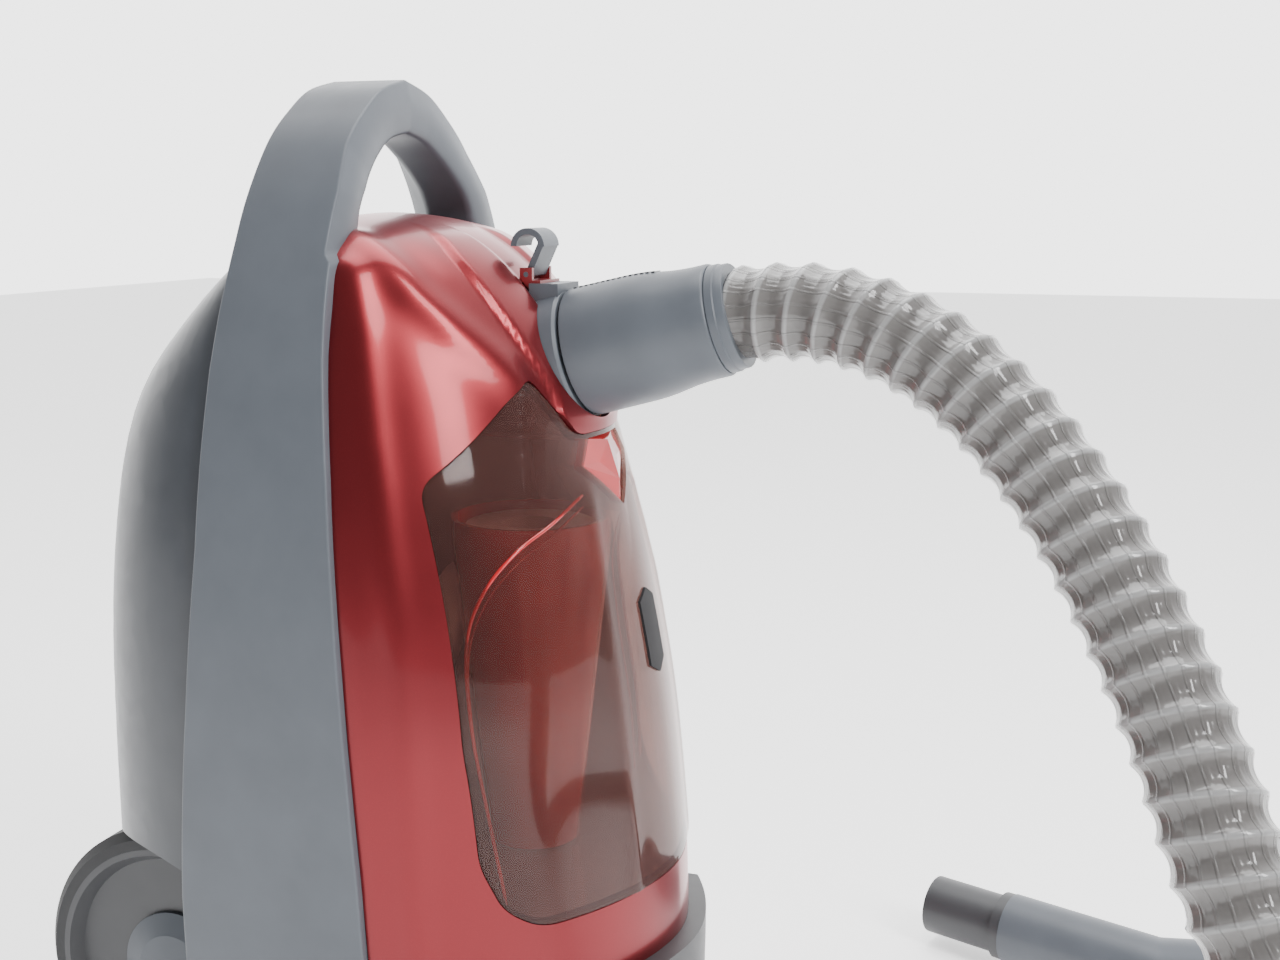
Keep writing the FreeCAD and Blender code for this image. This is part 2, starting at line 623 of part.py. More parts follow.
reel_base = (-24, S.reel_y, S.reel_z)
cord_drum = keep(turned("cord_drum", [
    (5.05, 0), (S.reel_radius, 0), (S.reel_radius, 2.4), (24, 2.4), (24, 40),
    (S.reel_radius, 40), (S.reel_radius, 42.4), (5.05, 42.4)], reel_base, X_AXIS), "cord_drum")
reel_spring_case = keep(turned("reel_spring_case", [
    (5.05, 43), (38, 43), (38, 52), (5.05, 52)], reel_base, X_AXIS), "reel_spring_case")
reel_axle = keep(rod("reel_axle", (-36, S.reel_y, S.reel_z), X_AXIS, 5, 76), "reel_axle")
bracket_sides = [block(f"bracket_side_{index}", (x, S.reel_y - 14, 8), (x + 3, S.reel_y + 14, S.reel_z + 12))
                 for index, x in enumerate((-34, 34))]
bracket_foot = block("bracket_foot", (-34, S.reel_y - 14, 8), (37, S.reel_y + 14, 11))
reel_bracket = keep(cut("reel_bracket", fuse("bracket_sum", *bracket_sides, bracket_foot),
                        rod("bracket_bore", (-50, S.reel_y, S.reel_z), X_AXIS, 5, 100)),
                    "reel_bracket")

control_board = keep(block("control_board", (-42, 46, 336), (42, 47.6, 392)), "control_board")
mains_switch = keep(block("mains_switch", (-66, -92.6, 34), (-40, -78, 56)), "mains_switch")

# Inlet duct: from the port back and down into the top of the cup.
duct_start = PORT_FACE - PORT_AXIS * float(S.collar_depth)
duct_corner = Vector(0, -56, duct_start.z - (duct_start.y + 56) * math.tan(tilt) * -1)
duct_end = Vector(0, -56, 361)


def mitred_tube(points, outer, inner):
    """Round duct along straight runs joined by ball corners."""
    def stick(radius):
        shape = None
        for start, end in zip(points, points[1:]):
            run = Part.makeCylinder(radius, (end - start).Length, start, end - start)
            shape = run if shape is None else shape.fuse(run)
            if end != points[-1]:
                shape = shape.fuse(Part.makeSphere(radius, end))
        return shape
    return stick(outer).cut(stick(inner))


inlet_duct = keep(freeform("inlet_duct", mitred_tube([duct_start, duct_corner, duct_end], 18, 16)),
                  "inlet_duct")

# ---------------------------------------------------------------- latch above the port
hinge_y = -70.0
hinge_z = 425.5
latch_block = block("latch_block", (-11.6, -77, 408), (11.6, -63, 422.8))
latch_ears = [block(f"latch_ear_{index}", (x, hinge_y - 3, 415), (x + 2.2, hinge_y + 3, hinge_z + 3))
              for index, x in enumerate((-11.6, 9.4))]
pin_hole = rod("pin_hole", (-20, hinge_y, hinge_z), X_AXIS, 1.2 + S.running, 40)
latch_base = keep(cut("latch_base", fuse("latch_sum", latch_block, *latch_ears), front_blank,
                      port_hole, collar_tab, pin_hole), "latch_base")


def lever_shape():
    """Flat strip that leans forward from its pin and rolls back over at the top."""
    width = 18.0
    lean = 25.0
    strip = Part.makeBox(width, 3, 15, Vector(-width / 2, -1.5, 0))
    strip.rotate(Vector(0, 0, 0), X_AXIS, lean)
    strip.translate(Vector(0, hinge_y, hinge_z))
    centre = Vector(-width / 2, -69.8, 438)
    roll = Part.makeCylinder(8.2, width, centre, X_AXIS).cut(
        Part.makeCylinder(5.4, width, centre, X_AXIS))
    lower_half = Part.makeBox(width, 20, 10, centre - Vector(0, 10, 10))
    pin = Part.makeCylinder(1.2, 23.2, Vector(-11.6, hinge_y, hinge_z), X_AXIS)
    return strip.fuse([roll.cut(lower_half), pin])


port_latch = keep(freeform("port_latch", lever_shape()), "port_latch")

# ---------------------------------------------------------------- tail
feet = [rod(f"foot_{x}_{y}", (x, y, 0), Z_AXIS, 8, S.foot_height)
        for x, y in ((-70, -60), (70, -60), (-70, 75), (70, 75))]
parking_feet = keep(fuse("parking_feet", *feet), "parking_feet")
tail_plate = keep(block("tail_plate", (-86, -36, 5), (86, 56, 7.6)), "tail_plate")

# ---------------------------------------------------------------- hose
HOSE_ROUTE = [
    (0, -167.5, 408.7), (-3, -192, 412), (-8, -221, 409), (-16, -250, 398.5), (-25, -276, 381.5),
    (-36, -300, 359), (-50, -322, 332), (-67, -343, 299), (-88, -363, 261), (-108, -380, 219),
    (-127, -403, 179), (-144, -431, 141), (-157, -464, 107), (-165, -502, 77), (-167, -545, 52),
    (-164, -591, 34), (-155, -639, 24), (-143, -688, 22.5), (-120, -734, 22.5), (-88, -774, 22.5),
    (-47, -805, 22.5), (0, -824, 22.5), (50, -830, 22.5), (101, -824, 22.5), (148, -805, 22.5),
    (189, -775, 22.5), (221, -735, 22.5), (242, -689, 22.5), (251, -638, 22.5), (249, -587, 22.5),
    (241, -537, 22.5), (230, -487, 22.5),
]
ARC_SHARE = 0.45


def rounded_route(points):
    """Straight runs joined by tangent arcs; returns the wire and the arcs' radii."""
    points = [Vector(*point) for point in points]
    start = points[0]
    edges = []
    radii = []
    for before, corner, after in zip(points, points[1:], points[2:]):
        back = before - corner
        ahead = after - corner
        reach = ARC_SHARE * min(back.Length, ahead.Length)
        turn = math.pi - back.getAngle(ahead)
        radii.append(reach / math.tan(turn / 2))
        enter = corner + Vector(back).normalize() * reach
        leave = corner + Vector(ahead).normalize() * reach
        towards = (Vector(back).normalize() + Vector(ahead).normalize()).normalize()
        centre = corner + towards * math.hypot(reach, radii[-1])
        middle = centre - towards * radii[-1]
        edges.append(Part.makeLine(start, enter))
        edges.append(Part.Arc(enter, middle, leave).toShape())
        start = leave
    edges.append(Part.makeLine(start, points[-1]))
    return Part.Wire(edges), radii


def hose_solid():
    """Plain tube along the hose's route."""
    wire, radii = rounded_route(HOSE_ROUTE)
    start = Vector(*HOSE_ROUTE[0])
    heading = Vector(*HOSE_ROUTE[1]) - start
    outer = Part.Wire(Part.makeCircle(float(S.hose_radius), start, heading))
    inner = Part.Wire(Part.makeCircle(float(S.hose_bore), start, heading))
    tube = wire.makePipeShell([outer], True, True).cut(wire.makePipeShell([inner], True, True))
    section = math.pi * (float(S.hose_radius) ** 2 - float(S.hose_bore) ** 2)
    print(f"hose length {wire.Length:.0f}, tightest radius {min(radii):.0f}, "
          f"volume over section times length {tube.Volume / (section * wire.Length):.4f}")
    print("hose radii", " ".join(f"{radius:.0f}" for radius in radii))
    return tube


hose_start = rod("hose_start", on_port(60), PORT_AXIS, S.collar_radius, 16)
hose = keep(cut("hose", freeform("hose_blank", hose_solid()), hose_start), "hose")

# ---------------------------------------------------------------- hand grip at the hose's end
grip_start = Vector(*HOSE_ROUTE[-1])
grip_heading = (grip_start - Vector(*HOSE_ROUTE[-2])).normalize()


def on_grip(distance):
    """Point on the grip's straight part."""
    return tuple(grip_start + grip_heading * distance)


grip_cuff = keep(turned("grip_cuff", [
    (S.hose_bore, 0), (S.grip_radius - 1.5, 0), (S.grip_radius, 6), (S.grip_radius, 52),
    (S.grip_radius - 2, 55), (S.hose_bore, 55)], on_grip(0), grip_heading), "grip_cuff")
GRIP_BEND = -32.0
handle_start = Vector(*on_grip(55.4))
handle_bend = handle_start + grip_heading * 70
wand_heading = Rotation(Z_AXIS, GRIP_BEND).multVec(grip_heading)
handle_end = handle_bend + wand_heading * 90
GRIP_TUBE = 20.5
hand_grip = keep(freeform("hand_grip", mitred_tube([handle_start, handle_bend, handle_end],
                                                   GRIP_TUBE, float(S.wand_bore))), "hand_grip")
slider_ring = turned("slider_ring", [(GRIP_TUBE + 0.3, 16), (GRIP_TUBE + 2, 16), (GRIP_TUBE + 2, 40),
                                     (GRIP_TUBE + 0.3, 40)], tuple(handle_start), grip_heading)
slider_space = block("slider_space", (grip_start.x - 100, grip_start.y - 50, grip_start.z + 14),
                     (grip_start.x + 100, grip_start.y + 200, grip_start.z + 40))
bleed_slider = keep(common("bleed_slider", slider_ring, slider_space), "bleed_slider")
wand_end = keep(turned("wand_end", [
    (S.wand_bore, 0), (S.wand_radius + 2.5, 0), (S.wand_radius + 2.5, 6), (S.wand_radius, 6),
    (S.wand_radius, 6 + S.wand_length), (S.wand_bore, 6 + S.wand_length)],
    tuple(handle_end), wand_heading), "wand_end")

# ---------------------------------------------------------------- write the files
document.recompute()
for piece in parts:
    document.recompute([piece])
for item in document.Objects:
    if "Invalid" in item.State or "Error" in item.State:
        raise RuntimeError(f"{item.Label} failed: {item.State}")
os.makedirs("parts", exist_ok=True)
for piece in parts:
    shape = piece.Shape
    if shape.isNull() or not shape.isValid() or not shape.Solids:
        raise RuntimeError(f"{piece.Label} has no valid solid")
for piece in parts:
    piece.Shape.exportStep(f"parts/{piece.Label}.step")
    box = piece.Shape.BoundBox
    print(f"{piece.Label:22s} {len(piece.Shape.Solids)} x[{box.XMin:.1f} {box.XMax:.1f}] "
          f"y[{box.YMin:.1f} {box.YMax:.1f}] z[{box.ZMin:.1f} {box.ZMax:.1f}]")
print(len(parts), "parts")
print("grip heading", tuple(grip_heading), "wand tube", tuple(handle_end + wand_heading * 28),
      tuple(wand_heading))
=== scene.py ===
"""Canister vacuum cleaner: the looks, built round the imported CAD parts."""

import json
import math

import bmesh
import bpy
import numpy as np
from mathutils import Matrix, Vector


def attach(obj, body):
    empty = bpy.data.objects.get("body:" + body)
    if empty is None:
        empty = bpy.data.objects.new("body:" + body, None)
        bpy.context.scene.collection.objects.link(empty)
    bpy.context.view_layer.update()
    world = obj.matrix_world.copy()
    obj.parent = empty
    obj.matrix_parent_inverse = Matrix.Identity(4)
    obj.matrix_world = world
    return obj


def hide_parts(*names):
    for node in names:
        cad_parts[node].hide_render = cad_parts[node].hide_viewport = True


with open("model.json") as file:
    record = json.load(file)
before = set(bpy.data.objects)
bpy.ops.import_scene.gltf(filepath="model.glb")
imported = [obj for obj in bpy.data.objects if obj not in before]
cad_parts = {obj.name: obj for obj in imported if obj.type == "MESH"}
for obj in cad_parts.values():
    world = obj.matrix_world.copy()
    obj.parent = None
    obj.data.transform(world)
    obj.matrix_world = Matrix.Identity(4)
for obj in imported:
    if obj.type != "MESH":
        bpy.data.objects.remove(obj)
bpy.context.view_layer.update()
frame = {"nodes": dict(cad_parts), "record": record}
scene = bpy.context.scene
MM = 0.001

# ---------------------------------------------------------------- camera
camera_data = bpy.data.cameras.new("view_camera")
camera_data.lens = 42.19
camera_data.sensor_width = 36
camera_data.clip_start = 0.02
camera_data.clip_end = 30
camera = bpy.data.objects.new("view_camera", camera_data)
scene.collection.objects.link(camera)
camera.location = (-0.6431, -0.3422, 0.4590)
camera.rotation_mode = "QUATERNION"
camera.rotation_quaternion = Vector((0.92938, 0.32001, -0.18395)).to_track_quat("-Z", "Y")
scene.camera = camera


# ---------------------------------------------------------------- materials
class Nodes:
    """A material and its node tree, with short ways to add and join nodes."""

    def __init__(self, name):
        self.material = bpy.data.materials.new(name)
        self.material.use_nodes = True
        self.tree = self.material.node_tree
        self.shader = self.tree.nodes["Principled BSDF"]

    def add(self, kind, **values):
        """A new node; each value sets an input of that name, or else a property."""
        node = self.tree.nodes.new(kind)
        for key, value in values.items():
            if key in node.inputs:
                node.inputs[key].default_value = value
            else:
                setattr(node, key, value)
        return node

    def join(self, source, target):
        self.tree.links.new(source, target)

    def place(self, kind="Object"):
        return self.add("ShaderNodeTexCoord").outputs[kind]

    def noise(self, scale, detail=3.0, kind="Object", roughness=0.55):
        node = self.add("ShaderNodeTexNoise", Scale=scale, Detail=detail, Roughness=roughness)
        self.join(self.place(kind), node.inputs["Vector"])
        return node.outputs["Fac"]

    def ramp(self, factor, *stops):
        """Colour ramp through (position, colour) stops."""
        node = self.add("ShaderNodeValToRGB")
        elements = node.color_ramp.elements
        while len(elements) < len(stops):
            elements.new(0.5)
        for element, (position, colour) in zip(elements, stops):
            element.position = position
            element.color = (*colour, 1)
        self.join(factor, node.inputs["Fac"])
        return node.outputs["Color"]

    def spread(self, factor, low, high):
        """The factor mapped from 0..1 to low..high."""
        node = self.add("ShaderNodeMapRange")
        node.inputs["To Min"].default_value = low
        node.inputs["To Max"].default_value = high
        self.join(factor, node.inputs["Value"])
        return node.outputs["Result"]

    def bump(self, height, strength, distance):
        node = self.add("ShaderNodeBump", Strength=strength, Distance=distance)
        self.join(height, node.inputs["Height"])
        self.join(node.outputs["Normal"], self.shader.inputs["Normal"])
        return node

    def set(self, **values):
        """Constant values on the shader's own sockets; an underscore stands for a space."""
        for key, value in values.items():
            self.shader.inputs[key.replace("_", " ")].default_value = value


def shade(colour, factor):
    """The colour made lighter or darker."""
    return tuple(min(1.0, channel * factor) for channel in colour)


def moulded(name, colour, roughness=0.4, grain=900.0, depth=0.00004, mottle=0.06, **more):
    """Moulded plastic or painted metal: slight mottling, uneven gloss and a fine grain."""
    made = Nodes(name)
    clouds = made.noise(38.0)
    made.join(made.ramp(clouds, (0.3, shade(colour, 1 - mottle)), (0.7, shade(colour, 1 + mottle))),
              made.shader.inputs["Base Color"])
    made.join(made.spread(made.noise(120.0), roughness - 0.05, roughness + 0.06),
              made.shader.inputs["Roughness"])
    made.bump(made.noise(grain, 2.0), 0.35, depth)
    made.set(**more)
    return made.material


def pearl_red():
    """Deep red pearl paint under clear coat, with fine flakes; the base colour carries a painted sheen,
    pinker where the surface is seen edge on.
    """
    made = Nodes("pearl_red")
    facing = made.add("ShaderNodeLayerWeight", Blend=0.32).outputs["Facing"]
    # Painted sheen: the base colour runs from deep red face on to pink where the surface is seen edge
    # on.
    red_with_edge_sheen = made.ramp(facing, (0.0, (0.165, 0.012, 0.016)), (0.5, (0.215, 0.024, 0.030)),
                     (1.0, (0.58, 0.22, 0.24)))
    cell = made.add("ShaderNodeTexVoronoi", Scale=1500.0)
    made.join(made.place(), cell.inputs["Vector"])
    flakes = made.ramp(cell.outputs["Distance"], (0.0, (1.25, 1.2, 1.2)), (0.35, (1.0, 1.0, 1.0)))
    mix = made.add("ShaderNodeMixRGB", blend_type="MULTIPLY", Fac=1.0)
    made.join(red_with_edge_sheen, mix.inputs["Color1"])
    made.join(flakes, mix.inputs["Color2"])
    made.join(mix.outputs["Color"], made.shader.inputs["Base Color"])
    made.join(made.spread(made.noise(60.0), 0.26, 0.34), made.shader.inputs["Roughness"])
    made.bump(cell.outputs["Distance"], 0.12, 0.00003)
    made.set(Metallic=0.8, Coat_Weight=0.3, Coat_Roughness=0.08, Coat_IOR=1.4)
    return made.material


def clear_tint(name, through, body, facing_mix=(0.16, 0.75), roughness=0.05):
    """Tinted clear plastic: light passes through with the tint, and edges turn glossy."""
    made = Nodes(name)
    clouds = made.noise(16.0)
    made.join(made.ramp(clouds, (0.3, shade(body, 0.85)), (0.7, shade(body, 1.15))),
              made.shader.inputs["Base Color"])
    made.join(made.spread(made.noise(60.0), roughness, roughness + 0.05),
              made.shader.inputs["Roughness"])
    made.set(Coat_Weight=0.8, Coat_Roughness=0.03)
    clear = made.add("ShaderNodeBsdfTransparent")
    made.join(made.ramp(clouds, (0.3, shade(through, 0.94)), (0.7, shade(through, 1.04))),
              clear.inputs["Color"])
    facing = made.add("ShaderNodeLayerWeight", Blend=0.42).outputs["Facing"]
    mix = made.add("ShaderNodeMixShader")
    made.join(made.spread(facing, *facing_mix), mix.inputs["Fac"])
    made.join(clear.outputs["BSDF"], mix.inputs[1])
    made.join(made.shader.outputs["BSDF"], mix.inputs[2])
    made.join(mix.outputs["Shader"], made.tree.nodes["Material Output"].inputs["Surface"])
    return made.material


PAINT = {
    "band": moulded("band_grey", (0.088, 0.098, 0.114), 0.40, Specular_IOR_Level=0.35),
    "housing": moulded("housing_grey", (0.040, 0.044, 0.052), 0.30, Specular_IOR_Level=0.5),
    "dark": moulded("dark_plastic", (0.035, 0.036, 0.040), 0.42),
    "darkred": moulded("dark_red", (0.20, 0.018, 0.022), 0.36, Coat_Weight=0.3),
    "red": pearl_red(),
    "smoke": clear_tint("smoke_tint", (0.80, 0.64, 0.60), (0.13, 0.062, 0.056), (0.15, 0.72)),
    "kite": clear_tint("kite_red", (0.85, 0.16, 0.16), (0.62, 0.015, 0.02), (0.65, 0.95)),
    "filter": moulded("filter_paper", (0.62, 0.60, 0.55), 0.85, 300.0, 0.0004),
    "steel": moulded("bright_steel", (0.60, 0.60, 0.61), 0.26, Metallic=1.0),
    "rubber": moulded("tyre_rubber", (0.025, 0.025, 0.027), 0.7, 500.0, 0.0001),
    "alloy": moulded("cast_alloy", (0.50, 0.51, 0.53), 0.4, Metallic=1.0),
    "copper": moulded("copper_wire", (0.62, 0.27, 0.14), 0.32, 300.0, 0.0003, Metallic=1.0),
    "board": moulded("board_green", (0.02, 0.13, 0.06), 0.5),
    "badge": moulded("badge_grey", (0.022, 0.021, 0.023), 0.62, Specular_IOR_Level=0.15),
}
SLOT_PAINT = {
    "band_plastic": "band", "red_shell": "red", "dark_red": "darkred", "dark_plastic": "dark",
    "smoke_clear": "smoke", "red_clear": "kite", "filter_media": "filter", "spring_steel": "steel",
    "badge": "badge", "housing_plastic": "housing", "axle_steel": "steel", "wheel_rubber": "rubber",
    "motor_steel": "steel", "motor_alloy": "alloy", "copper_winding": "copper", "board": "board",
    "hose_vinyl": "housing",
}

slot_of = {part["node"]: part["material_slot"] for part in frame["record"]["subparts"]}
for name, node in frame["nodes"].items():
    paint = PAINT[SLOT_PAINT[slot_of[name]]]
    if not node.material_slots:
        node.data.materials.append(None)
    for material_slot in node.material_slots:
        material_slot.link = "OBJECT"
        material_slot.material = paint


# ---------------------------------------------------------------- hose
HOSE_ROUTE = [
    (0, -167.5, 408.7), (-3, -192, 412), (-8, -221, 409), (-16, -250, 398.5), (-25, -276, 381.5),
    (-36, -300, 359), (-50, -322, 332), (-67, -343, 299), (-88, -363, 261), (-108, -380, 219),
    (-127, -403, 179), (-144, -431, 141), (-157, -464, 107), (-165, -502, 77), (-167, -545, 52),
    (-164, -591, 34), (-155, -639, 24), (-143, -688, 22.5), (-120, -734, 22.5), (-88, -774, 22.5),
    (-47, -805, 22.5), (0, -824, 22.5), (50, -830, 22.5), (101, -824, 22.5), (148, -805, 22.5),
    (189, -775, 22.5), (221, -735, 22.5), (242, -689, 22.5), (251, -638, 22.5), (249, -587, 22.5),
    (241, -537, 22.5), (230, -487, 22.5),
]
HOSE_RADIUS = 0.0217
HOSE_PITCH = 0.0148
HOSE_RIBS = 20
RIB_HEIGHT = 0.00035
VALLEY_DEPTH = 0.0028
CREST_SHARE = 0.06


def nurbs_line(name, points):
    """The points that a second-degree NURBS curve through these control points runs through."""
    curve = bpy.data.curves.new(name, "CURVE")
    curve.dimensions = "3D"
    spline = curve.splines.new("NURBS")
    spline.points.add(len(points) - 1)
    for point, place in zip(spline.points, points):
        point.co = (*(value * MM for value in place), 1)
    spline.order_u = 3
    spline.use_endpoint_u = True
    spline.resolution_u = 12
    holder = bpy.data.objects.new(name, curve)
    scene.collection.objects.link(holder)
    bpy.context.view_layer.update()
    mesh = bpy.data.meshes.new_from_object(holder)
    line = [Vector(vertex.co) for vertex in mesh.vertices]
    bpy.data.objects.remove(holder)
    return line


def resampled(line, count):
    """The line cut in count equal steps."""
    points = np.array(line)
    steps = np.linalg.norm(np.diff(points, axis=0), axis=1)
    along = np.concatenate([[0], np.cumsum(steps)])
    marks = np.linspace(0, along[-1], count + 1)
    return np.stack([np.interp(marks, along, points[:, axis]) for axis in range(3)], 1), along[-1]


def mesh_piece(name, verts, faces, paint, smooth=True, uvs=None):
    """A new object from points and faces, with its material."""
    mesh = bpy.data.meshes.new(name)
    mesh.from_pydata([tuple(v) for v in verts], [], faces)
    if uvs is not None:
        mesh.uv_layers.new(name="along").data.foreach_set("uv", np.array(uvs, float).ravel())
    mesh.materials.append(paint)
    mesh.polygons.foreach_set("use_smooth", [smooth] * len(mesh.polygons))
    mesh.update()
    piece = bpy.data.objects.new(name, mesh)
    scene.collection.objects.link(piece)
    return piece


def settle(piece, body, slot, *nodes):
    """The piece moves with the body and stands for the CAD nodes."""
    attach(piece, body)
    if nodes:
        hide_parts(*nodes)
    return piece


def tube(name, line, radius_at, around, paint):
    """A closed tube along the line whose radius is radius_at(distance, angle)."""
    points, length = line
    count = len(points)
    tangents = np.gradient(points, axis=0)
    tangents /= np.linalg.norm(tangents, axis=1)[:, None]
    side = np.cross(tangents[0], (0, 0, 1.0))
    side /= np.linalg.norm(side)
    verts, uvs, faces = [], [], []
    for index, (point, tangent) in enumerate(zip(points, tangents)):
        side = side - tangent * (side @ tangent)
        side /= np.linalg.norm(side)
        other = np.cross(tangent, side)
        distance = length * index / (count - 1)
        for step in range(around):
            angle = 2 * math.pi * step / around
            radius = radius_at(distance, angle)
            verts.append(point + (side * math.cos(angle) + other * math.sin(angle)) * radius)
    for index in range(count - 1):
        for step in range(around):
            a = index * around + step
            b = index * around + (step + 1) % around
            faces.append((a, b, b + around, a + around))
            here, there = length * index / (count - 1), length * (index + 1) / (count - 1)
            start, end = step / around, (step + 1) / around
            uvs += [(here, start), (here, end), (there, end), (there, start)]
    faces.append(tuple(reversed(range(around))))
    faces.append(tuple(range((count - 1) * around, count * around)))
    uvs += [(0, 0)] * around + [(length, 0)] * around
    return mesh_piece(name, verts, faces, paint, uvs=uvs)


def hose_paint():
    """Smoky see-through vinyl with a fine grid of ribs, as its reinforcing yarn shows through, coloured
    with a painted highlight on each crest and painted shade in the valleys.
    """
    made = Nodes("hose_vinyl")
    uv = made.add("ShaderNodeUVMap", uv_map="along")
    split = made.add("ShaderNodeSeparateXYZ")
    made.join(uv.outputs["UV"], split.inputs["Vector"])
    ribs = made.add("ShaderNodeMath", operation="SINE")
    turns = made.add("ShaderNodeMath", operation="MULTIPLY")
    turns.inputs[1].default_value = 2 * math.pi * HOSE_RIBS
    made.join(split.outputs["Y"], turns.inputs[0])
    made.join(turns.outputs[0], ribs.inputs[0])
    level = made.spread(ribs.outputs[0], 0.0, 1.0)
    level.node.inputs["From Min"].default_value = 0.75
    rings = made.add("ShaderNodeMath", operation="MULTIPLY_ADD")
    rings.inputs[1].default_value = 1 / HOSE_PITCH
    made.join(split.outputs["X"], rings.inputs[0])
    made.join(split.outputs["Y"], rings.inputs[2])
    turn = made.add("ShaderNodeMath", operation="MULTIPLY")
    turn.inputs[1].default_value = 2 * math.pi
    made.join(rings.outputs[0], turn.inputs[0])
    crest = made.add("ShaderNodeMath", operation="COSINE")
    made.join(turn.outputs[0], crest.inputs[0])
    near_crest = made.spread(crest.outputs[0], 0.0, 1.0)
    near_crest.node.inputs["From Min"].default_value = -1.0
    # Painted highlight and shade: the base colour is lightest at each crest tip and darkest mid-valley.
    crest_highlight_and_valley_shade = made.ramp(near_crest, (0.0, (0.130, 0.122, 0.118)), (0.90, (0.165, 0.157, 0.152)),
                     (0.985, (0.33, 0.33, 0.33)))
    made.join(crest_highlight_and_valley_shade, made.shader.inputs["Base Color"])
    made.join(made.spread(made.noise(90.0), 0.16, 0.26), made.shader.inputs["Roughness"])
    made.bump(level, 0.8, 0.0007)
    made.set(Transmission_Weight=0.25, IOR=1.35, Coat_Weight=0.7, Coat_Roughness=0.06)
    return made.material


hose_line = nurbs_line("hose_line", HOSE_ROUTE)
HOSE_STEPS = 1164
hose_path = resampled(hose_line, HOSE_STEPS)


def ringed(distance, angle):
    """Narrow crests on a slow helix, with hollow valleys between them."""
    phase = (distance / HOSE_PITCH + angle / (2 * math.pi)) % 1.0
    valley = 1 - (2 * phase - 1) ** 2
    rib = RIB_HEIGHT * max(0.0, math.cos(angle * HOSE_RIBS)) ** 6 * valley
    depth = VALLEY_DEPTH * max(0.0, valley - CREST_SHARE) / (1 - CREST_SHARE)
    return HOSE_RADIUS - depth + rib


hose = tube("hose_tube", hose_path, ringed, 120, hose_paint())
settle(hose, "housing", "hose_vinyl", "hose")

# ---------------------------------------------------------------- shapes shared by the body's pieces
# Each row is one cross-section: front centre y and z, half width, edge y and z, in millimetres.
FRONT_ROWS = [
    (-134, 5, 94, -38, 5), (-139, 35, 105, -39, 35), (-141.5, 85, 115.5, -40, 85),
    (-141, 135, 121, -40, 135), (-137.5, 180, 123.5, -38.8, 180), (-131.5, 230, 124, -35.8, 230),
    (-122.5, 280, 120.5, -31.2, 280), (-113, 320, 115.5, -27, 320), (-105, 350, 110, -23.8, 350),
    (-96.5, 378, 103, -20, 378), (-84.5, 402, 96, -17, 401), (-72, 419, 91, -14.5, 415),
    (-57, 434, 87, -12, 427), (-40, 444.5, 82.5, -7, 435), (-20, 450.5, 79, 0, 439),
    (2, 453, 76, 8, 441), (16, 452, 74, 14, 441),
]
CUP_OUTLINE = [(84, 147), (96, 158), (102.5, 180), (104, 232), (100, 296), (97, 342), (45, 384),
               (27, 355.4)]
PORT_FACE = Vector((0, -93.8, 389.9))
PORT_AXIS = Vector((0, -math.cos(math.radians(14.3)), math.sin(math.radians(14.3))))
WALL = 2.6


def eased(rows, steps):
    """Catmull-Rom curve through the rows, with that many steps from one to the next."""
    rows = np.array(rows, float)
    made = []
    for index in range(len(rows) - 1):
        before, start = rows[max(index - 1, 0)], rows[index]
        end, after = rows[index + 1], rows[min(index + 2, len(rows) - 1)]
        for t in np.arange(steps) / steps:
            made.append(0.5 * (2 * start + (end - before) * t
                               + (2 * before - 5 * start + 4 * end - after) * t * t
                               + (3 * start - before - 3 * end + after) * t ** 3))
    return np.array(made + [rows[-1]])


def body_grid(rows, powers, inset, steps, columns):
    """Points of the body's surface: one line per section, from the left edge to the right one."""
    lines = eased(rows, steps)
    angles = np.radians(np.linspace(-90, 90, 2 * columns + 1))
    across = np.sign(np.sin(angles)) * np.abs(np.sin(angles)) ** (2 / powers[0])
    forward = np.cos(angles).clip(0) ** (2 / powers[1])
    centre_y, centre_z, half, edge_y, edge_z = (lines[:, k][:, None] for k in range(5))
    reach = np.hypot(centre_y - edge_y, centre_z - edge_z)
    share = (reach - inset) / reach
    return np.stack([(half - inset) * across,
                     edge_y + (centre_y - edge_y) * share * forward,
                     edge_z + (centre_z - edge_z) * share * forward], -1)


def grid_normals(grid):
    """Outward direction at each grid point."""
    along, across = np.gradient(grid, axis=0), np.gradient(grid, axis=1)
    normal = np.cross(across, along)
    normal /= np.linalg.norm(normal, axis=2)[..., None] + 1e-9
    return normal * np.sign((normal * (grid - np.array([0, 0, 200.0]))).sum(-1))[..., None]


def near_line(grid, line):
    """Distance from each grid point to a polyline in space."""
    best = np.full(grid.shape[:2], 1e9)
    for a, b in zip(np.array(line, float), np.array(line[1:], float)):
        step = b - a
        share = (((grid - a) @ step) / (step @ step)).clip(0, 1)
        best = np.minimum(best, np.linalg.norm(grid - a - share[..., None] * step, axis=2))
    return best


def folded(grid):
    """The points of both sides laid on the side where x is negative."""
    made = grid.copy()
    made[..., 0] = -np.abs(grid[..., 0])
    return made


def smooth_step(values):
    """Eases from 0 to 1."""
    values = np.clip(values, 0, 1)
    return values * values * (3 - 2 * values)


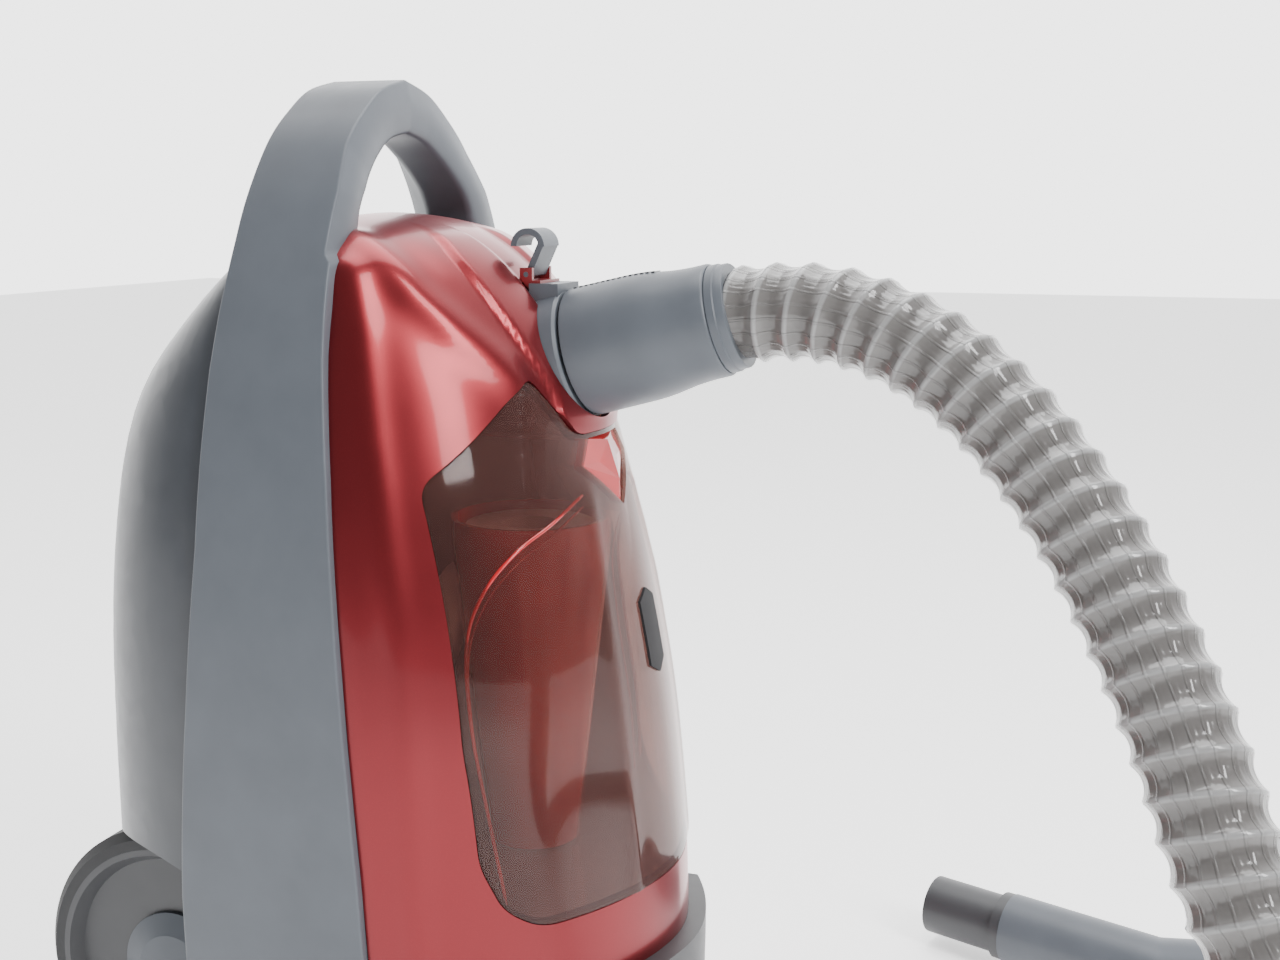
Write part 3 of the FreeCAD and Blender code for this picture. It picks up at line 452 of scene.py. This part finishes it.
def closed_body(name, grid, back, paint):
    """Solid between the grid and a flat back at the grid's own edges, moved by back."""
    rows, columns = grid.shape[:2]
    verts = [tuple(p * MM) for p in grid.reshape(-1, 3)]
    faces = [(r * columns + c, r * columns + c + 1, (r + 1) * columns + c + 1, (r + 1) * columns + c)
             for r in range(rows - 1) for c in range(columns - 1)]
    first = len(verts)
    for r in range(rows):
        for c in (0, columns - 1):
            verts.append(tuple((grid[r, c] + np.array([0, back, 0])) * MM))
    for r in range(rows - 1):
        left, right = first + 2 * r, first + 2 * r + 1
        faces.append((r * columns, (r + 1) * columns, left + 2, left))
        faces.append(((r + 1) * columns - 1, right, right + 2, (r + 2) * columns - 1))
        faces.append((left, left + 2, right + 2, right))
    faces.append((*range(columns - 1, -1, -1), first, first + 1))
    last = (rows - 1) * columns
    faces.append((*range(last, last + columns), first + 2 * rows - 1, first + 2 * rows - 2))
    piece = mesh_piece(name, verts, faces, paint)
    tidy_normals(piece.data)
    return piece


def tidy_normals(mesh):
    """Joins points at the same place and turns every face outward."""
    work = bmesh.new()
    work.from_mesh(mesh)
    bmesh.ops.remove_doubles(work, verts=work.verts, dist=1e-6)
    bmesh.ops.recalc_face_normals(work, faces=work.faces)
    work.to_mesh(mesh)
    work.free()


def prism(name, outline, low, high):
    """Outline in x and z, carried along Y from low to high."""
    count = len(outline)
    verts = [(x * MM, y * MM, z * MM) for y in (low, high) for x, z in outline]
    faces = [tuple(range(count)), tuple(range(2 * count - 1, count - 1, -1))]
    faces += [(k, count + k, count + (k + 1) % count, (k + 1) % count) for k in range(count)]
    piece = mesh_piece(name, verts, faces, None, smooth=False)
    tidy_normals(piece.data)
    return piece


def mirrored(half):
    """A closed outline from the corners of its one side."""
    return half + [(-x, z) for x, z in reversed(half) if x > 0]


def rounded(outline, radius, steps=5):
    """The outline with its corners rounded."""
    made = []
    points = [Vector(p) for p in outline]
    for before, corner, after in zip(points[-1:] + points, points, points[1:] + points[:1]):
        back, ahead = before - corner, after - corner
        reach = min(radius, back.length * 0.45, ahead.length * 0.45)
        start, end = corner + back.normalized() * reach, corner + ahead.normalized() * reach
        for step in range(steps + 1):
            t = step / steps
            made.append(tuple(start * (1 - t) ** 2 + corner * 2 * t * (1 - t) + end * t * t))
    return made


def shrunk(outline, by):
    """A closed outline moved inward."""
    points = np.array(outline, float)
    area = np.sum(points[:, 0] * np.roll(points[:, 1], -1) - np.roll(points[:, 0], -1) * points[:, 1])
    sign = 1 if area > 0 else -1
    made = []
    for k in range(len(points)):
        a = points[k] - points[k - 1]
        b = points[(k + 1) % len(points)] - points[k]
        na = sign * np.array([-a[1], a[0]]) / np.hypot(*a)
        nb = sign * np.array([-b[1], b[0]]) / np.hypot(*b)
        made.append(tuple(points[k] + (na + nb) * by / max(0.35, 1 + na @ nb)))
    return made


def combined(piece, operation, *tools):
    """Cuts, joins or intersects the piece with the tools, which are then gone."""
    for tool in tools:
        change = piece.modifiers.new("change", "BOOLEAN")
        change.operation = operation
        change.solver = "EXACT"
        change.object = tool
        bpy.context.view_layer.update()
        graph = bpy.context.evaluated_depsgraph_get()
        mesh = bpy.data.meshes.new_from_object(piece.evaluated_get(graph))
        piece.modifiers.clear()
        piece.data = mesh
        bpy.data.objects.remove(tool)
    return piece


SHARP_ANGLE = math.radians(38)


def finished(piece, width):
    """Sharp edges get a small bevel; everything else is shaded smooth."""
    work = bmesh.new()
    work.from_mesh(piece.data)
    bmesh.ops.remove_doubles(work, verts=work.verts, dist=2e-6)
    bmesh.ops.dissolve_degenerate(work, edges=work.edges, dist=2e-6)
    work.to_mesh(piece.data)
    work.free()
    piece.data.polygons.foreach_set("use_smooth", [True] * len(piece.data.polygons))
    bevel = piece.modifiers.new("bevel", "BEVEL")
    bevel.width = width
    bevel.segments = 2
    bevel.limit_method = "ANGLE"
    bevel.angle_limit = SHARP_ANGLE
    bevel.use_clamp_overlap = True
    bevel.harden_normals = True
    piece.data.set_sharp_from_angle(angle=SHARP_ANGLE)
    return piece


def cylinder(name, place, axis, radius, length, around=64):
    """A plain rod in millimetres, for cutting."""
    points = [Vector(place) * MM, (Vector(place) + Vector(axis) * length) * MM]
    line = (np.array([list(p) for p in points]), length * MM)
    return tube(name, line, lambda distance, angle: radius * MM, around, None)


# ---------------------------------------------------------------- side band and carry handle
# Each station: outer x and z, inner x and z, and how much of a handle the section is.
# The front and back lines give y at each height.
BAND_STATIONS = [
    (94, 5, 88, 5, 0), (112, 50, 106, 50, 0), (121, 100, 115, 100, 0), (126, 150, 120, 150, 0),
    (128, 200, 122, 200, 0), (127, 250, 121, 250, 0), (122, 300, 116, 300, 0),
    (114, 350, 107.5, 350, 0), (101.5, 400, 92, 400, 0), (94.6, 422, 76, 422, 0.3),
    (86, 441, 60, 442, 1), (78, 457, 55, 454, 1), (68, 472, 49, 462.5, 1), (56, 486, 41, 470.5, 1),
    (42, 497, 31, 478, 1), (23, 508, 17, 485.5, 1), (0, 513.5, 0, 489, 1),
]
BAND_FRONT = [(0, -38), (100, -40), (172, -39.1), (218, -36.6), (259, -33.2), (298, -29.3),
              (344, -24.6), (393, -18), (434.6, -15), (436.2, -12), (463, -11.5), (482, -8),
              (513.5, -6)]
BAND_BACK = [(0, 58), (158, 49.6), (246, 41.5), (312, 37.7), (387, 36.5), (423, 34), (467, 33),
             (530, 33)]


BAND_STEPS = 7


def band_section(station):
    """One rounded cross-section of the band, as points in space."""
    outer, inner, handle = station[0:2], station[2:4], min(1.0, max(0.0, station[4]))
    heights = (inner[1], outer[1])
    front = np.interp(heights, *zip(*BAND_FRONT))
    back = np.interp(heights, *zip(*BAND_BACK))
    inner_back = back[0] * (1 - handle) + (front[0] + 25) * handle
    thick = math.hypot(outer[0] - inner[0], outer[1] - inner[1])
    bulge = 2.2 * handle
    corners = [(0, front[0]), (thick * 0.5, (front[0] + front[1]) / 2 - bulge), (thick, front[1]),
               (thick, back[1]), (0, inner_back)]
    radii = [0.8 + 3.2 * handle, 9 * handle + 0.5, 1.3, 1.6, 0.9 + 2.6 * handle]
    made = []
    for k, (corner, radius) in enumerate(zip(corners, radii)):
        corner = Vector(corner)
        before, after = Vector(corners[k - 1]) - corner, Vector(corners[(k + 1) % 5]) - corner
        radius = min(radius, before.length * 0.45, after.length * 0.45)
        start = corner + before.normalized() * radius
        end = corner + after.normalized() * radius
        for step in range(6):
            t = step / 5
            flat = start * (1 - t) ** 2 + corner * 2 * t * (1 - t) + end * t * t
            share = flat.x / thick
            made.append(np.array([inner[0] + (outer[0] - inner[0]) * share, flat.y,
                                  inner[1] + (outer[1] - inner[1]) * share]))
    return made


def side_band():
    """Band and handle in one sweep, from the foot of one side over the top to the other."""
    half = eased(BAND_STATIONS, BAND_STEPS)
    sections = [band_section(station) for station in half]
    sections += [[point * np.array([-1, 1, 1]) for point in section]
                 for section in reversed(sections[:-1])]
    count = len(sections[0])
    verts = [point * MM for section in sections for point in section]
    faces = [(r * count + c, r * count + (c + 1) % count, (r + 1) * count + (c + 1) % count,
              (r + 1) * count + c) for r in range(len(sections) - 1) for c in range(count)]
    last = (len(sections) - 1) * count
    faces += [tuple(range(count)), tuple(range(last + count - 1, last - 1, -1))]
    piece = mesh_piece("band_and_handle", verts, faces, PAINT["band"])
    tidy_normals(piece.data)
    piece.data.set_sharp_from_angle(angle=math.radians(50))
    return piece


settle(side_band(), "housing", "band_plastic", "side_band")


# ---------------------------------------------------------------- red front shell
FRONT_POWERS = (1.8, 1.6)
STEPS, COLUMNS = ((6, 72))
UPPER_RIDGE = [(-66, -14, 443), (-70, -30, 433), (-69.5, -44, 420), (-64, -60, 404.5),
               (-55, -75, 390), (-50, -82, 382)]
SIDE_RIDGE = [(-82, -20, 429), (-91, -28.4, 405.5), (-101, -36.5, 370), (-110, -47.8, 313),
              (-113, -54.4, 280), (-117, -59, 230), (-118, -61, 171), (-113, -64, 60)]
COWL_EDGE = [(359, 33), (373, 33.5), (391, 38.5), (409, 41.5), (424, 42), (434, 41), (443, 35),
             (449, 27)]
COWL_RISE = 2.0
PEDAL_OPENING = [(34, 28), (70, 28), (70, 62), (34, 62)]
LATCH_HALF, LATCH_FOOT = 13, 404


def styled(grid):
    """The surface with its soft ridges and the raised cowl round the hose port."""
    side = folded(grid)
    lift = sum(height * np.exp(-(near_line(side, line) / width) ** 2)
               for line, height, width in ((UPPER_RIDGE, 2.6, 9.0), (SIDE_RIDGE, 1.9, 8.0)))
    heights, halves = zip(*COWL_EDGE)
    edge = np.interp(grid[..., 2], heights, halves) - np.abs(grid[..., 0])
    cowl = smooth_step(edge / 3.0 + 0.5) * smooth_step((grid[..., 2] - 352) / 8.0)
    beside_latch = np.maximum(smooth_step((np.abs(grid[..., 0]) - LATCH_HALF) / 4.0),
                              smooth_step((LATCH_FOOT - grid[..., 2]) / 6.0))
    lift += COWL_RISE * cowl * beside_latch * smooth_step((450 - grid[..., 2]) / 10.0)
    return grid + grid_normals(grid) * lift[..., None]


def red_shell():
    """The cover: outside less inside, with its openings for cup, port, latch and pedals."""
    outer = styled(body_grid(FRONT_ROWS, FRONT_POWERS, 0, STEPS, COLUMNS))
    inner = body_grid(FRONT_ROWS, FRONT_POWERS, WALL, STEPS, COLUMNS)
    inner[0, :, 2] -= 4
    shell = closed_body("red_shell", outer, 0.0, PAINT["red"])
    hollow = closed_body("hollow", inner, 12.0, None)
    window = prism("window", rounded(mirrored(CUP_OUTLINE), 7), -190, -6)
    port = cylinder("port", PORT_FACE - PORT_AXIS * 60, PORT_AXIS, 30.9, 100)
    tab = prism("tab", [(-13.4, 400), (13.4, 400), (13.4, 421.9), (-13.4, 421.9)], -100, -60)
    pedals = [prism(f"pedal_{side}", [(side * x, z) for x, z in PEDAL_OPENING], -190, -60)
              for side in (-1, 1)]
    combined(shell, "DIFFERENCE", hollow, window, port, tab, *pedals)
    return finished(shell, 0.0007)


settle(red_shell(), "housing", "red_shell", "front_shell")


# ---------------------------------------------------------------- dirt cup
CUP_RIDGE = [(-27, -106, 327), (-34, -115.9, 283), (-37, -125, 230), (-37, -132.5, 147)]
KITE = [(0, 320), (27, 341.5), (17.5, 353)]
POCKET = [(0, 316.5), (30, 341), (19.5, 355)]
RIM_SUNK, GEM_BACK = 1.8, -95.2


def cup_surface(inset):
    """The body's surface with the cup's narrow ridge on each side."""
    grid = body_grid(FRONT_ROWS, FRONT_POWERS, inset, STEPS, COLUMNS)
    lift = 1.5 * np.exp(-near_line(folded(grid), CUP_RIDGE) / 5.0)
    return grid + grid_normals(grid) * lift[..., None]


def surface_y(grid, x, z):
    """How far forward the surface is at this x and z, from its nearest points."""
    points = grid.reshape(-1, 3)
    away = np.hypot(points[:, 0] - x, points[:, 2] - z) + 0.01
    nearest = np.argsort(away)[:4]
    return np.average(points[nearest, 1], weights=away[nearest] ** -2)


def clear_cup():
    """The cup: a hollow block of the body's shape, open at the back, with the button's pocket."""
    outline = shrunk(mirrored(CUP_OUTLINE), 0.5)
    cup = closed_body("clear_cup", cup_surface(0), 0.0, PAINT["smoke"])
    combined(cup, "INTERSECT", prism("outside", rounded(outline, 6.5), -190, -24))
    room = closed_body("room", cup_surface(WALL), 40.0, None)
    combined(room, "INTERSECT", prism("inside", rounded(shrunk(outline, WALL), 5), -190, -10))
    combined(room, "DIFFERENCE", prism("pocket", mirrored(POCKET), -190, -90))
    combined(cup, "DIFFERENCE", room, prism("kite", mirrored(KITE), -190, -92.5))
    return finished(cup, 0.0005)


settle(clear_cup(), "cup", "smoke_clear", "dirt_cup")


def rail(name, line, radius, paint):
    """A thin rod through the points."""
    points = eased([list(p) for p in line], 8)
    return tube(name, resampled(points * MM, 60), lambda distance, angle: radius * MM, 10, paint)


# The curved red line inside each side of the cup.
INNER_EDGE = [(-31, -104, 329), (-54, -98.5, 320), (-73, -90, 311), (-87, -81, 296), (-94, -76, 274),
              (-96.5, -79, 238), (-95, -86, 196), (-90, -90, 162)]
for side, name in ((1, "left"), (-1, "right")):
    line = [(side * x, y, z) for x, y, z in INNER_EDGE]
    settle(rail(f"cup_rib_{name}", line, 0.8, PAINT["kite"]), "cup", "red_clear")
    inner_line = [(side * (x + 5), y + 1.5, z - 6) for x, y, z in INNER_EDGE]
    settle(rail(f"cup_inner_rib_{name}", inner_line, 0.5, PAINT["kite"]), "cup", "red_clear")


def kite_gem():
    """Faceted release button, its rim set a little below the cup's surface."""
    rim = shrunk(mirrored(KITE), 0.6)
    face = cup_surface(0)
    front = [(x, surface_y(face, x, z) + RIM_SUNK, z) for x, z in rim]
    peaks = [(x, surface_y(face, x, z) + sunk, z) for x, z, sunk in
             ((0, 332, -0.6), (-11, 341, 1.6), (11, 341, 1.6), (0, 350, 0.0))]
    back = [(x, GEM_BACK, z) for x, z in rim]
    verts = [tuple(value * MM for value in point) for point in front + peaks + back]
    count = len(rim)
    low, left, right, top = range(count, count + 4)
    bottom, far_right, up_right, up_left, far_left = range(count)
    faces = [(bottom, far_right, low), (far_right, right, low), (far_right, up_right, right),
             (up_right, top, right), (up_right, up_left, top), (up_left, left, top),
             (up_left, far_left, left), (far_left, low, left), (far_left, bottom, low),
             (low, right, top), (low, top, left)]
    faces += [(k, (k + 1) % count, count + 4 + (k + 1) % count, count + 4 + k)
              for k in range(count)]
    faces.append(tuple(range(count + 4, 2 * count + 4)))
    gem = mesh_piece("kite_button", verts, faces, PAINT["kite"], smooth=False)
    tidy_normals(gem.data)
    bevel = gem.modifiers.new("bevel", "BEVEL")
    bevel.width, bevel.segments = 0.0003, 1
    return gem


settle(kite_gem(), "cup_button", "red_clear", "cup_button")


# ---------------------------------------------------------------- the hose's cuff
def on_cuff(distance, angle, radius):
    """Point on the cuff: distance from the port's face, angle from the top towards the left."""
    up = Vector((0, -PORT_AXIS.z, PORT_AXIS.y)).normalized() * -1
    left = PORT_AXIS.cross(up)
    turn = math.radians(angle)
    return PORT_FACE + PORT_AXIS * distance + (up * math.cos(turn) + left * math.sin(turn)) * radius


def turned(name, profile, place, axis, paint, around=96):
    """Closed ring turned from a profile of (radius, distance) pairs round the axis."""
    axis = Vector(axis).normalized()
    side = axis.orthogonal().normalized()
    other = axis.cross(side)
    verts, faces = [], []
    count = len(profile)
    for step in range(around):
        angle = 2 * math.pi * step / around
        out = side * math.cos(angle) + other * math.sin(angle)
        verts += [(Vector(place) + axis * distance + out * radius) * MM for radius, distance in profile]
        for k in range(count):
            here, there = step * count, (step + 1) % around * count
            faces.append((here + k, here + (k + 1) % count, there + (k + 1) % count, there + k))
    piece = mesh_piece(name, verts, faces, paint)
    tidy_normals(piece.data)
    piece.data.set_sharp_from_angle(angle=math.radians(35))
    return piece


CUFF_PROFILE = [
    (19, -15), (22.9, -15), (22.9, 0.7), (28.9, 0.7), (29.4, 1.2), (29.5, 3), (29.35, 12),
    (29.1, 22), (28.9, 30), (28.6, 35), (28.0, 40), (27.1, 45), (26.3, 50), (25.8, 55), (25.5, 60),
    (25.4, 66.4), (25.1, 67.2), (24.6, 67.6), (19, 67.6),
]
END_RING_PROFILE = [(19, 67.6), (24.0, 67.6), (24.4, 68.2), (24.3, 71.4), (23.7, 72.0), (23.6, 75.4),
                    (23.2, 76), (19, 76)]
settle(turned("cuff_body", CUFF_PROFILE, PORT_FACE, PORT_AXIS, PAINT["band"]), "cuff",
       "band_plastic", "hose_cuff")
settle(turned("cuff_ring", END_RING_PROFILE, PORT_FACE, PORT_AXIS, PAINT["band"]), "cuff",
       "band_plastic", "cuff_end_ring")


def cuff_ribs():
    """Low grip ribs in a row along the top of the cuff."""
    verts, faces = [], []
    for start in 4.0 + 2.7 * np.arange(15):
        radius = np.interp(start, (3, 30, 35, 40, 45, 50), (29.5, 28.9, 28.6, 28.0, 27.1, 26.3))
        base = len(verts)
        for distance in (start, start + 1.5):
            for angle, rise in ((-9.1, -0.4), (-9.1, 0.5), (9.1, 0.5), (9.1, -0.4)):
                verts.append(on_cuff(distance, angle, radius + rise) * MM)
        faces += [tuple(base + k for k in face) for face in
                  ((0, 1, 2, 3), (7, 6, 5, 4), (0, 4, 5, 1), (1, 5, 6, 2), (2, 6, 7, 3), (3, 7, 4, 0))]
    ribs = mesh_piece("cuff_ribs", verts, faces, PAINT["housing"], smooth=False)
    tidy_normals(ribs.data)
    return ribs


settle(cuff_ribs(), "cuff", "band_plastic")

# ---------------------------------------------------------------- studio
floor_paint = moulded("studio_paper", (0.88, 0.88, 0.88), 0.75, 60.0, 0.00002, 0.01,
                      Emission_Color=(1, 1, 1, 1), Emission_Strength=0.9)
floor = mesh_piece("studio_floor", [(-5, -5, 0), (7, -5, 0), (7, 5, 0), (-5, 5, 0)],
                   [(0, 1, 2, 3)], floor_paint, smooth=False)

world = bpy.data.worlds.new("studio")
scene.world = world
world.use_nodes = True
sky = world.node_tree
sky.nodes["Background"].inputs["Color"].default_value = (1, 1, 1, 1)
toward = sky.nodes.new("ShaderNodeVectorMath")
toward.operation = "DOT_PRODUCT"
toward.inputs[1].default_value = (0.93, 0.32, 0.1)
sky.links.new(sky.nodes.new("ShaderNodeTexCoord").outputs["Generated"], toward.inputs[0])
level = sky.nodes.new("ShaderNodeMapRange")
level.inputs["From Min"].default_value = -0.1
level.inputs["From Max"].default_value = 0.8
level.inputs["To Min"].default_value = 0.35
level.inputs["To Max"].default_value = 3.6
sky.links.new(toward.outputs["Value"], level.inputs["Value"])
sky.links.new(level.outputs["Result"], sky.nodes["Background"].inputs["Strength"])


def softbox(name, place, aim, size, power):
    """A square area light that faces the aim point."""
    lamp = bpy.data.lights.new(name, "AREA")
    lamp.shape = "RECTANGLE"
    lamp.size, lamp.size_y = size
    lamp.energy = power
    holder = bpy.data.objects.new(name, lamp)
    scene.collection.objects.link(holder)
    holder.location = place
    holder.rotation_mode = "QUATERNION"
    holder.rotation_quaternion = (Vector(aim) - Vector(place)).to_track_quat("-Z", "Y")


softbox("key_light", (-0.7, -1.6, 1.5), (0, -0.1, 0.25), (0.5, 1.4), 45)
softbox("top_light", (0.3, -0.2, 2.0), (0, -0.1, 0.25), (1.2, 1.2), 30)
